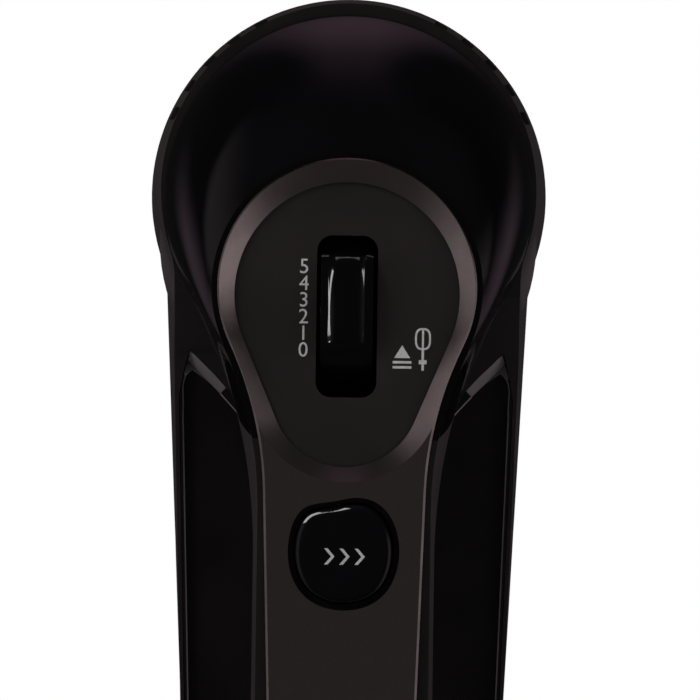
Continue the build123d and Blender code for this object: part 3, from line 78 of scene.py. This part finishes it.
class Nodes:
    """A small builder for one material's node tree, in object coordinates."""

    def __init__(self, name, colour, roughness, **sockets):
        self.material = bpy.data.materials.new(name)
        self.material.use_nodes = True
        self.tree = self.material.node_tree
        self.shader = self.tree.nodes["Principled BSDF"]
        self.shader.inputs["Base Color"].default_value = (*colour, 1)
        self.shader.inputs["Roughness"].default_value = roughness
        for key, value in sockets.items():
            self.shader.inputs[key.replace("_", " ")].default_value = value
        self.place = self.add("ShaderNodeTexCoord").outputs["Object"]
        self.normal = None

    def add(self, kind, **inputs):
        node = self.tree.nodes.new(kind)
        for key, value in inputs.items():
            self.feed(node, key, value)
        return node

    def feed(self, node, key, value):
        socket = node.inputs[key]
        if isinstance(value, bpy.types.NodeSocket):
            self.tree.links.new(value, socket)
        else:
            socket.default_value = value

    def stretched(self, scale):
        node = self.add("ShaderNodeMapping", Vector=self.place, Scale=scale)
        return node.outputs["Vector"]

    def noise(self, scale, detail=2.0, roughness=0.5, place=None):
        node = self.add("ShaderNodeTexNoise", Vector=place or self.place)
        node.inputs["Scale"].default_value = scale
        node.inputs["Detail"].default_value = detail
        node.inputs["Roughness"].default_value = roughness
        return node.outputs["Fac"]

    def cells(self, scale):
        node = self.add("ShaderNodeTexVoronoi", Vector=self.place)
        node.inputs["Scale"].default_value = scale
        return node.outputs["Distance"]

    def bands(self, scale, axis):
        node = self.add("ShaderNodeTexWave", Vector=self.place)
        node.bands_direction = axis
        node.inputs["Scale"].default_value = scale
        node.inputs["Distortion"].default_value = 0.0
        return node.outputs["Fac"]

    def spread(self, value, low, high, start=0.3, end=0.7):
        node = self.add("ShaderNodeMapRange", Value=value)
        for key, number in (("From Min", start), ("From Max", end), ("To Min", low), ("To Max", high)):
            node.inputs[key].default_value = number
        return node.outputs["Result"]

    def maths(self, operation, first, second):
        node = self.add("ShaderNodeMath")
        node.operation = operation
        self.feed(node, 0, first)
        self.feed(node, 1, second)
        return node.outputs["Value"]

    def colour(self, factor, first, second):
        node = self.add("ShaderNodeMix")
        node.data_type = "RGBA"
        for index, value in ((0, factor), (6, (*first, 1)), (7, (*second, 1))):
            self.feed(node, index, value)
        self.tree.links.new(node.outputs[2], self.shader.inputs["Base Color"])

    def rough(self, value):
        self.tree.links.new(value, self.shader.inputs["Roughness"])

    def bump(self, height, depth_mm, strength):
        node = self.add("ShaderNodeBump", Height=height)
        node.inputs["Distance"].default_value = depth_mm * MM
        node.inputs["Strength"].default_value = strength
        if self.normal is not None:
            self.tree.links.new(self.normal, node.inputs["Normal"])
        self.normal = node.outputs["Normal"]
        self.tree.links.new(self.normal, self.shader.inputs["Normal"])


def gloss(name, colour, rough=(0.05, 0.10), lighter=1.6, ior=1.36):
    """Polished moulded plastic: a barely uneven skin, fine dust and hairline handling marks."""
    m = Nodes(name, colour, rough[0], IOR=ior)
    patches = m.noise(60, 3)
    m.colour(m.spread(patches, 0, 1), colour, [c * lighter for c in colour])
    m.rough(m.spread(m.noise(420, 4, 0.6), *rough))
    m.bump(m.noise(95, 1), 0.012, 0.35)
    m.bump(m.noise(5200, 2), 0.0012, 0.5)
    return m.material


def satin(name, colour, rough=(0.34, 0.44), grain=3600, depth=0.010, darker=0.72, **sockets):
    """Spark-eroded moulded plastic: a fine even grain with slightly polished high spots."""
    m = Nodes(name, colour, rough[0], IOR=1.30, **sockets)
    grains = m.noise(grain, 3, 0.65)
    m.colour(m.spread(m.noise(45, 3), 0, 1), [c * darker for c in colour], colour)
    m.rough(m.spread(grains, rough[1], rough[0]))
    m.bump(m.noise(grain * 0.45, 2), depth, 0.6)
    m.bump(grains, depth * 0.5, 0.8)
    return m.material


def metallic(name, colour, rough=(0.26, 0.38), flake=7500, depth=0.003):
    """Metallic lacquer: dense flakes of differing brightness under an even satin."""
    m = Nodes(name, colour, rough[0], Metallic=1.0)
    flakes = m.cells(flake)
    dull, bright = [c * 0.82 for c in colour], [c * 1.12 for c in colour]
    m.colour(m.spread(flakes, 0, 1, 0.15, 0.75), dull, bright)
    m.rough(m.spread(m.noise(260, 4), *rough))
    m.bump(flakes, depth, 0.5)
    m.bump(m.noise(80, 2), 0.01, 0.3)
    return m.material


def turned(name, colour, rough=(0.22, 0.40), along=(1, 1, 9), stained=0.7, depth=0.006):
    """Machined or drawn metal: tool lines across the stretched axis, with faint staining."""
    m = Nodes(name, colour, rough[0], Metallic=1.0)
    lines = m.noise(520, 3, 0.6, m.stretched(along))
    m.colour(m.spread(m.noise(150, 4), 0, 1), [c * stained for c in colour], colour)
    m.rough(m.spread(lines, *rough))
    m.bump(lines, depth, 0.6)
    return m.material


def plated(name):
    """Bright chrome on drawn wire and strip: faint draw lines, water-spot haze and hairline scratches."""
    m = Nodes(name, (0.62, 0.62, 0.63), 0.08, Metallic=1.0)
    lines = m.noise(900, 3, 0.6, m.stretched((1, 0.15, 1)))
    m.colour(m.spread(m.noise(90, 4), 0, 1), (0.55, 0.55, 0.57), (0.70, 0.70, 0.70))
    m.rough(m.spread(m.noise(240, 5, 0.65), 0.06, 0.19))
    m.bump(lines, 0.004, 0.5)
    m.bump(m.noise(55, 2), 0.02, 0.25)
    return m.material


def stacked(name):
    """Electrical sheet stacked along the shaft, each sheet edge a little lighter or darker."""
    m = Nodes(name, (0.20, 0.20, 0.22), 0.4, Metallic=0.9)
    sheets = m.bands(640, "Z")
    m.colour(sheets, (0.10, 0.10, 0.12), (0.30, 0.30, 0.33))
    m.rough(m.spread(m.noise(300, 3), 0.32, 0.52))
    m.bump(sheets, 0.05, 0.7)
    return m.material


def wound(name):
    """Enamelled copper wire laid side by side, amber where the varnish is thick."""
    m = Nodes(name, (0.50, 0.17, 0.05), 0.25, Metallic=0.8, IOR=1.5)
    wires = m.bands(520, "DIAGONAL")
    m.colour(m.spread(m.noise(110, 4), 0, 1), (0.36, 0.10, 0.03), (0.64, 0.26, 0.09))
    m.rough(m.spread(wires, 0.42, 0.20, 0, 1))
    m.bump(wires, 0.12, 0.9)
    return m.material


def sprung(name):
    """Spring wire: drawn steel with a straw-tinted heat bloom."""
    m = Nodes(name, (0.42, 0.42, 0.43), 0.25, Metallic=1.0)
    m.colour(m.spread(m.noise(180, 4), 0, 1), (0.48, 0.44, 0.37), (0.36, 0.37, 0.41))
    m.rough(m.spread(m.noise(900, 3), 0.18, 0.36))
    m.bump(m.noise(1800, 2, 0.6, m.stretched((1, 0.3, 1))), 0.006, 0.6)
    return m.material


def circuit(name):
    """Solder-masked board: woven glass just visible under green varnish."""
    m = Nodes(name, (0.02, 0.12, 0.05), 0.3, IOR=1.5)
    weave = m.bands(900, "X")
    weft = m.bands(900, "Z")
    m.colour(m.spread(m.noise(220, 3), 0, 1), (0.012, 0.075, 0.03), (0.03, 0.16, 0.07))
    m.rough(m.spread(weave, 0.24, 0.38, 0, 1))
    m.bump(weave, 0.01, 0.4)
    m.bump(weft, 0.01, 0.4)
    return m.material


def cast(name):
    """Pressure-cast zinc: a dull orange-peel skin with flow marks."""
    m = Nodes(name, (0.42, 0.43, 0.45), 0.45, Metallic=0.9)
    skin = m.noise(700, 4, 0.6)
    m.colour(m.spread(m.noise(60, 5, 0.7), 0, 1), (0.30, 0.31, 0.33), (0.50, 0.51, 0.53))
    m.rough(m.spread(skin, 0.38, 0.60))
    m.bump(skin, 0.05, 0.6)
    return m.material


def sooty(name):
    """Pressed carbon: dead matt, speckled with grains and worn smooth in streaks."""
    m = Nodes(name, (0.012, 0.012, 0.013), 0.75, IOR=1.5)
    grains = m.cells(2600)
    m.colour(m.spread(grains, 0, 1, 0.1, 0.6), (0.03, 0.03, 0.032), (0.008, 0.008, 0.009))
    m.rough(m.spread(m.noise(120, 3), 0.55, 0.88))
    m.bump(grains, 0.02, 0.7)
    return m.material


def rubbery(name):
    """Moulded rubber: matt, with a dusty bloom in the low spots."""
    m = Nodes(name, (0.012, 0.012, 0.012), 0.62, IOR=1.45)
    m.shader.inputs["Sheen Weight"].default_value = 0.15
    bloom = m.noise(130, 5, 0.6)
    m.colour(m.spread(bloom, 0, 1), (0.009, 0.009, 0.009), (0.022, 0.021, 0.020))
    m.rough(m.spread(bloom, 0.52, 0.72))
    m.bump(m.noise(2600, 3), 0.02, 0.7)
    return m.material


def printed(name):
    """Pad-printed pale ink: slightly uneven cover and a faint orange peel."""
    m = Nodes(name, (0.34, 0.33, 0.33), 0.45, IOR=1.45)
    cover = m.noise(1500, 3, 0.6)
    m.colour(m.spread(cover, 0, 1), (0.30, 0.29, 0.29), (0.42, 0.41, 0.41))
    m.rough(m.spread(cover, 0.38, 0.55))
    m.bump(m.noise(6000, 2), 0.002, 0.5)
    return m.material


MATERIALS = {
    "hood_black": gloss("hood_black", (0.0012, 0.0011, 0.0014), (0.06, 0.10)),
    "shell_satin": satin("shell_satin", (0.0125, 0.0100, 0.0100), (0.28, 0.36)),
    "floor_gloss": gloss("floor_gloss", (0.0035, 0.0028, 0.0032), (0.12, 0.18)),
    "trim_metal": metallic("trim_metal", (0.35, 0.305, 0.305), (0.30, 0.38)),
    "panel_dark": satin("panel_dark", (0.0235, 0.0187, 0.0194), (0.36, 0.44), 5200, 0.006, Metallic=0.25),
    "knob_black": gloss("knob_black", (0.0007, 0.0007, 0.0009), (0.05, 0.09)),
    "inner_plastic": satin("inner_plastic", (0.10, 0.095, 0.09), (0.42, 0.55), 2400, 0.02, 0.8),
    "nylon": satin("nylon", (0.62, 0.60, 0.54), (0.32, 0.46), 2000, 0.015, 0.9, Subsurface_Weight=0.1),
    "black_plastic": satin("black_plastic", (0.008, 0.008, 0.008), (0.34, 0.48), 2800, 0.015),
    "rubber_black": rubbery("rubber_black"),
    "steel": turned("steel", (0.44, 0.44, 0.45)),
    "chrome": plated("chrome"),
    "spring_steel": sprung("spring_steel"),
    "laminations": stacked("laminations"),
    "copper": wound("copper"),
    "brass": turned("brass", (0.62, 0.42, 0.16), (0.2, 0.36)),
    "bronze": turned("bronze", (0.42, 0.24, 0.11), (0.34, 0.5), (1, 6, 1)),
    "die_cast": cast("die_cast"),
    "carbon": sooty("carbon"),
    "board_green": circuit("board_green"),
    "trim_edge": turned("trim_edge", (0.34, 0.31, 0.31), (0.20, 0.30)),
    # Painted highlight: a paler satin for the tray's lip and outer chamfer, standing in for light caught on
    # those edges.
    "tray_edge_highlight": satin("tray_edge_highlight", (0.120, 0.103, 0.107), (0.26, 0.34)),
    "ink": printed("ink"),
}


def dress_solids():
    for row in frame["record"]["subparts"]:
        obj = frame["nodes"][row["node"]]
        obj.data.materials.clear()
        obj.data.materials.append(MATERIALS[row["material_slot"]])


# ---------------------------------------------------------------- printed marks

# In millimetres, as x across the handle and z along it.
INK_T = 0.03
INK_LIFT = 0.012
INK_EDGE = 0.8  # longer edges are divided, so that the ink follows the surface
INK_DROP = 200  # level from which the ink is dropped on the surface
SPEEDS = 6
DIGIT_X = -9.45
DIGIT_Z = 121.5  # height of the lowest digit
DIGIT_PITCH = 3.64
DIGIT_SIZE = 4.6
DIGIT_SQUEEZE = 0.98
EJECT_X = 12.2
EJECT_ARROW = (1.75, 119.9, 122.7)  # half width, base and tip
EJECT_BARS = (118.7, 117.6)
EJECT_BAR_HALF = 2.05
EJECT_BAR_T = 0.55
BEATER_X = 16.7
BEATER_LOOP = (124.1, 1.75, 2.4, 0.42)  # middle, half width, half length and line width
BEATER_WIRE = (0.22, 122.1, 126.1)  # half width and ends
BEATER_SHANK = (0.27, 117.2, 121.75)
BEATER_LUGS = (0.85, 118.6, 119.5)
CHEVRONS = (-4.2, -0.9, 2.4)
CHEVRON_Z = 76.6
CHEVRON_SHAPE = (1.75, 1.5, 0.75)  # half length, arm and line width
LOOP_STEPS = 28
LOOP_POWER = 0.7  # under 1 squares the loop off


def surface_of(node):
    obj = frame["nodes"][node]
    corners = [v.co.copy() for v in obj.data.vertices]
    return BVHTree.FromPolygons(corners, [tuple(p.vertices) for p in obj.data.polygons])


def print_on(name, node, body, outlines, ink):
    """Thin ink on a CAD node, from outlines in (x, z) millimetres, laid on the face that looks along -Y."""
    tree = surface_of(node)
    bm = bmesh.new()
    for outline in outlines:
        bm.faces.new([bm.verts.new((x * MM, 0, z * MM)) for x, z in outline])
    bmesh.ops.triangulate(bm, faces=bm.faces[:])
    long_edges = [e for e in bm.edges if e.calc_length() > INK_EDGE * MM]
    bmesh.ops.subdivide_edges(bm, edges=long_edges, cuts=2)
    for v in bm.verts:
        hit = tree.ray_cast(Vector((v.co.x, -INK_DROP * MM, v.co.z)), Vector((0, 1, 0)))[0]
        v.co.y = hit.y - INK_LIFT * MM
    mesh = bpy.data.meshes.new(name)
    bm.to_mesh(mesh)
    bm.free()
    add_piece(name, mesh, body, ink)


def add_piece(name, mesh, body, material):
    mesh.materials.append(material)
    piece = bpy.data.objects.new(name, mesh)
    bpy.context.scene.collection.objects.link(piece)
    solid = piece.modifiers.new("thickness", "SOLIDIFY")
    solid.thickness = INK_T * MM
    solid.offset = 0
    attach(piece, body)


def digit_outlines(text, x, z):
    """Faces of one digit, centred on (x, z)."""
    curve = bpy.data.curves.new("digit", "FONT")
    curve.body = text
    curve.size = DIGIT_SIZE
    curve.align_x, curve.align_y = "CENTER", "CENTER"
    curve.resolution_u = 4
    obj = bpy.data.objects.new("digit", curve)
    mesh = bpy.data.meshes.new_from_object(obj)
    points = [v.co for v in mesh.vertices]
    middle = (min(p.x for p in points) + max(p.x for p in points)) / 2
    height = (min(p.y for p in points) + max(p.y for p in points)) / 2
    placed = [(x + (p.x - middle) * DIGIT_SQUEEZE, z + p.y - height) for p in points]
    faces = [[placed[i] for i in face.vertices] for face in mesh.polygons]
    bpy.data.meshes.remove(mesh)
    bpy.data.objects.remove(obj)
    bpy.data.curves.remove(curve)
    return faces


def bar(x0, x1, z0, z1):
    return [(x0, z0), (x1, z0), (x1, z1), (x0, z1)]


def loop_strip(x, z, half_x, half_z, width):
    """Quads of a flattened ring with squared-off ends."""
    def squared(value):
        return math.copysign(abs(value) ** LOOP_POWER, value)

    def point(step, inset):
        turn = 2 * math.pi * step / LOOP_STEPS
        across = (half_x - inset) * squared(math.cos(turn))
        along = (half_z - inset) * squared(math.sin(turn))
        return (x + across, z + along)

    return [[point(i, 0), point(i + 1, 0), point(i + 1, width), point(i, width)]
            for i in range(LOOP_STEPS)]


def chevron(x, z, half, arm, width):
    return [[(x, z + half), (x + width, z + half), (x + width + arm, z), (x + arm, z)],
            [(x + arm, z), (x + width + arm, z), (x + width, z - half), (x, z - half)]]


def make_marks(ink):
    digits = []
    for step in range(SPEEDS):
        digits += digit_outlines(str(step), DIGIT_X, DIGIT_Z + step * DIGIT_PITCH)
    print_on("speed_digits", "control_panel", "mixer_base", digits, ink)

    x = EJECT_X
    half, base, tip = EJECT_ARROW
    eject = [[(x - half, base), (x + half, base), (x, tip)]]
    eject += [bar(x - EJECT_BAR_HALF, x + EJECT_BAR_HALF, z, z + EJECT_BAR_T) for z in EJECT_BARS]
    print_on("eject_mark", "control_panel", "mixer_base", eject, ink)

    x = BEATER_X
    beater = loop_strip(x, *BEATER_LOOP)
    beater += [bar(x - half, x + half, low, high) for half, low, high in (BEATER_WIRE, BEATER_SHANK)]
    inner = BEATER_SHANK[0]
    outer, low, high = BEATER_LUGS
    beater += [bar(x - outer, x - inner, low, high), bar(x + inner, x + outer, low, high)]
    print_on("beater_mark", "control_panel", "mixer_base", beater, ink)

    fast = []
    for x in CHEVRONS:
        fast += chevron(x, CHEVRON_Z, *CHEVRON_SHAPE)
    print_on("turbo_mark", "turbo_button", "turbo", fast, ink)


# ---------------------------------------------------------------- edges

TRIM_EDGE_DEPTH = 0.6  # in millimetres
TRIM_EDGE_TILT = (0.55, 0.85)  # share of the normal that looks up, out of the handle top
# Which faces of the tray's lip and outer chamfer get the painted highlight.
TRAY_EDGE_TILT = (0.2, 0.95)
TRAY_LIP_REARWARD = 0.3  # share of the lip's normal that looks to the heel
ROUNDED = {"speed_dial": 0.45, "turbo_button": 0.55}  # widths, in millimetres
ROUND_SEGMENTS = 3
ROUND_ANGLE = math.radians(28)
WELD_DISTANCE = 0.002


def light_tray_edge(material):
    """Paints a highlight on the tray's sloped lip and the chamfer along its outer edge, in a colour paler
    than its floor.
    """
    obj = frame["nodes"]["gap_floor"]
    obj.data.materials.append(material)
    for face in obj.data.polygons:
        tilted = TRAY_EDGE_TILT[0] < -face.normal.y < TRAY_EDGE_TILT[1]
        if tilted and (face.normal.z < -TRAY_LIP_REARWARD or face.center.x * face.normal.x < 0):
            face.material_index = 1


def round_edges(node, width):
    """Softens a CAD node's sharp moulded edges, in looks only."""
    obj = frame["nodes"][node]
    weld = obj.modifiers.new("weld", "WELD")
    weld.merge_threshold = WELD_DISTANCE * MM
    bevel = obj.modifiers.new("bevel", "BEVEL")
    bevel.width = width * MM
    bevel.segments = ROUND_SEGMENTS
    bevel.limit_method = "ANGLE"
    bevel.angle_limit = ROUND_ANGLE


def polish_trim_edge(material):
    """The trim's narrow outer chamfer is turned bright."""
    obj = frame["nodes"]["handle_trim"]
    obj.data.materials.append(material)
    for face in obj.data.polygons:
        high = -face.center.y / MM > TRIM_TOP - TRIM_EDGE_DEPTH
        tilted = TRIM_EDGE_TILT[0] < abs(face.normal.y) < TRIM_EDGE_TILT[1]
        outward = face.center.x * face.normal.x + (face.center.z - TRIM_MIDDLE_Z * MM) * face.normal.z
        if high and tilted and outward > 0:
            face.material_index = 1


# ---------------------------------------------------------------- floor, world and light


FLOOR_R = 2.4
FLOOR_SEGMENTS = 96
FLOOR_FADE = (0.16, 0.42)  # distances from the object between which the floor fades to white


def make_stage():
    """A pale floor that fades to plain white away from the object."""
    mesh = bpy.data.meshes.new("floor")
    bm = bmesh.new()
    bmesh.ops.create_circle(bm, cap_ends=True, segments=FLOOR_SEGMENTS, radius=FLOOR_R)
    bm.to_mesh(mesh)
    bm.free()
    floor = bpy.data.objects.new("floor", mesh)
    bpy.context.scene.collection.objects.link(floor)
    m = Nodes("floor", (0.80, 0.80, 0.80), 0.7, IOR=1.4)
    m.colour(m.spread(m.noise(18, 4), 0, 1), (0.78, 0.78, 0.78), (0.82, 0.82, 0.82))
    m.bump(m.noise(900, 3), 0.03, 0.3)
    away = m.add("ShaderNodeVectorMath", Vector=m.place)
    away.operation = "LENGTH"
    fade = m.spread(away.outputs["Value"], 0.0, 1.0, *FLOOR_FADE)
    rays = m.add("ShaderNodeLightPath").outputs
    seen = m.maths("MAXIMUM", rays["Is Camera Ray"], rays["Is Glossy Ray"])
    white = m.add("ShaderNodeEmission", Strength=1.0)
    mix = m.add("ShaderNodeMixShader")
    mixed = (m.maths("MULTIPLY", seen, fade), m.shader.outputs[0], white.outputs[0])
    for index, value in enumerate(mixed):
        m.feed(mix, index, value)
    m.tree.links.new(mix.outputs[0], m.tree.nodes["Material Output"].inputs["Surface"])
    mesh.materials.append(m.material)
    floor.visible_glossy = False


# What shiny surfaces see round the object: patches in a dim studio, each a colour and the limits that it
# fades between. A limit is (direction, start, end), against the ray's share along that direction.
LEFT, RIGHT, BACK, FRONT = (-1, 0, 0), (1, 0, 0), (0, 1, 0), (0, -1, 0)
UP, DOWN = (0, 0, 1), (0, 0, -1)
REFLECTED = [
    ((0.036, 0.033, 0.033), [(FRONT, -0.1, 0.5)]),
    ((0.17, 0.105, 0.140), [(UP, 0.15, 0.80), (BACK, -0.5, 0.2),
                            (LEFT, -0.34, -0.06), (RIGHT, -0.34, -0.06)]),
    ((0.28, 0.195, 0.240), [(LEFT, 0.32, 0.95), (DOWN, -0.30, 0.02), (BACK, 0.0, 0.4)]),
    ((0.28, 0.195, 0.240), [(RIGHT, 0.32, 0.95), (DOWN, -0.30, 0.02), (BACK, 0.0, 0.4)]),
    ((0.36, 0.32, 0.325), [(LEFT, 0.55, 0.95), (FRONT, -0.15, 0.1)]),
    ((0.56, 0.49, 0.50), [(RIGHT, 0.55, 0.95), (FRONT, -0.15, 0.1), (DOWN, -0.40, 0.0)]),
    ((1.10, 1.03, 1.06), [(DOWN, 0.50, 0.72), (BACK, -0.10, 0.12)]),
]
AROUND_LEVEL = 0.006  # between the patches
AMBIENT = 0.30  # for diffuse surfaces


def make_world():
    """White behind the object, soft patches in a dim studio for shiny surfaces, and an even fill."""
    world = bpy.data.worlds.new("studio")
    bpy.context.scene.world = world
    world.use_nodes = True
    tree = world.node_tree
    tree.nodes.clear()

    def add(kind, operation, *values):
        node = tree.nodes.new(kind)
        node.operation = operation
        for socket, value in zip(node.inputs, values):
            if isinstance(value, bpy.types.NodeSocket):
                tree.links.new(value, socket)
            else:
                socket.default_value = value
        return node.outputs

    def scalar(operation, first, second):
        return add("ShaderNodeMath", operation, first, second)[0]

    rays = tree.nodes.new("ShaderNodeLightPath").outputs
    ray = tree.nodes.new("ShaderNodeTexCoord").outputs["Generated"]
    shiny = (AROUND_LEVEL, AROUND_LEVEL, AROUND_LEVEL)
    for colour, limits in REFLECTED:
        share = 1.0
        for direction, start, end in limits:
            along = add("ShaderNodeVectorMath", "DOT_PRODUCT", ray, direction)["Value"]
            rise = tree.nodes.new("ShaderNodeMapRange")
            rise.interpolation_type = "SMOOTHSTEP"
            rise.inputs["From Min"].default_value = start
            rise.inputs["From Max"].default_value = end
            tree.links.new(along, rise.inputs["Value"])
            share = scalar("MULTIPLY", share, rise.outputs["Result"])
        shiny = add("ShaderNodeVectorMath", "MULTIPLY_ADD", share, colour, shiny)["Vector"]
    direct = scalar("MAXIMUM", rays["Is Camera Ray"], rays["Is Transmission Ray"])
    other = scalar("SUBTRACT", 1.0, scalar("MAXIMUM", direct, rays["Is Glossy Ray"]))
    plain = scalar("ADD", direct, scalar("MULTIPLY", other, AMBIENT))
    total = add("ShaderNodeVectorMath", "MULTIPLY_ADD", shiny, rays["Is Glossy Ray"], plain)["Vector"]
    back = tree.nodes.new("ShaderNodeBackground")
    tree.links.new(total, back.inputs["Color"])
    out = tree.nodes.new("ShaderNodeOutputWorld")
    tree.links.new(back.outputs[0], out.inputs["Surface"])


def softbox(name, place, target, width, height, power, lit=None):
    """A rectangular lamp; where lit is given, only those pieces get its light, and they mirror it too."""
    data = bpy.data.lights.new(name, "AREA")
    data.shape = "RECTANGLE"
    data.size, data.size_y = width, height
    data.energy = power
    lamp = bpy.data.objects.new(name, data)
    bpy.context.scene.collection.objects.link(lamp)
    lamp.location = place
    lamp.rotation_euler = (Vector(target) - Vector(place)).to_track_quat("-Z", "Y").to_euler()
    lamp.visible_glossy = lit is not None
    if lit:
        lamp.light_linking.receiver_collection = lit


LAMP_AIM = (0, -0.05, 0.12)
# Soft light on every piece, as (name, place, width, height, power).
MAIN_LAMPS = [
    ("key", (-1.0, -0.9, 0.9), 0.5, 0.9, 10),
    ("fill", (1.1, -0.7, 0.5), 0.6, 0.6, 4),
    ("top", (0, 0.1, 1.4), 0.9, 0.9, 8),
]
# Strips of light that only one control shows, as (node, direction, width, height, power).
GLINT_DISTANCE = 0.6
GLINTS = [
    ("speed_dial", (0.80, -0.58, 0.14), 0.05, 0.70, 1.9),
    ("speed_dial", (-0.84, -0.54, 0.14), 0.05, 0.70, 1.3),
    ("speed_dial", (0.00, -0.40, 0.92), 0.70, 0.06, 0.30),
    ("turbo_button", (-0.60, -0.12, 0.78), 0.70, 0.55, 16.0),
]
# Lamps for what the front leaves dark, as (place, size, power): the shell's sides, its back, bright metal.
FRONT_PIECES = ("hood", "handle_trim", "control_panel", "speed_dial", "turbo_button", "gap_floor")
BACK_PIECES = ("lower_housing", "port_collar_left", "port_collar_right", "cord_gland")
SIDE_LAMPS = [((-1.20, 0.15, 0.50), 0.7, 13), ((1.20, 0.15, 0.40), 0.7, 10)]
BACK_LAMPS = [((0.30, 1.25, 0.45), 0.9, 13)]
BRIGHT_LAMPS = [((0, 0.30, 1.20), 1.6, 7), ((0, 1.50, 0.30), 1.8, 6), ((-1.40, 0.30, 0.20), 1.2, 3)]


def receivers(name, nodes):
    group = bpy.data.collections.new(name)
    for node in nodes:
        group.objects.link(frame["nodes"][node])
    return group


def make_lights():
    for name, place, width, height, power in MAIN_LAMPS:
        softbox(name, place, LAMP_AIM, width, height, power)
    for node, direction, width, height, power in GLINTS:
        low, high = (Vector(corner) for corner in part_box(node))
        target = (low + high) / 2
        place = target + Vector(direction).normalized() * GLINT_DISTANCE
        softbox("glint_" + node, place, target, width, height, power, receivers("lit_" + node, [node]))
    shell = [node for node in frame["nodes"] if node not in FRONT_PIECES]
    bright = [node for node in shell if node.startswith("beater_") or node == "housing_screws"]
    groups = [
        ("side", shell, SIDE_LAMPS),
        ("back", BACK_PIECES, BACK_LAMPS),
        ("bright", bright, BRIGHT_LAMPS),
    ]
    for name, nodes, lamps in groups:
        lit = receivers("lit_" + name, nodes)
        for place, size, power in lamps:
            softbox(name, place, LAMP_AIM, size, size, power, lit)


bpy.context.scene.view_settings.view_transform = "Standard"
make_camera()
make_stage()
make_world()
make_lights()
dress_solids()
polish_trim_edge(MATERIALS["trim_edge"])
light_tray_edge(MATERIALS["tray_edge_highlight"])
for node, width in ROUNDED.items():
    round_edges(node, width)
make_marks(MATERIALS["ink"])
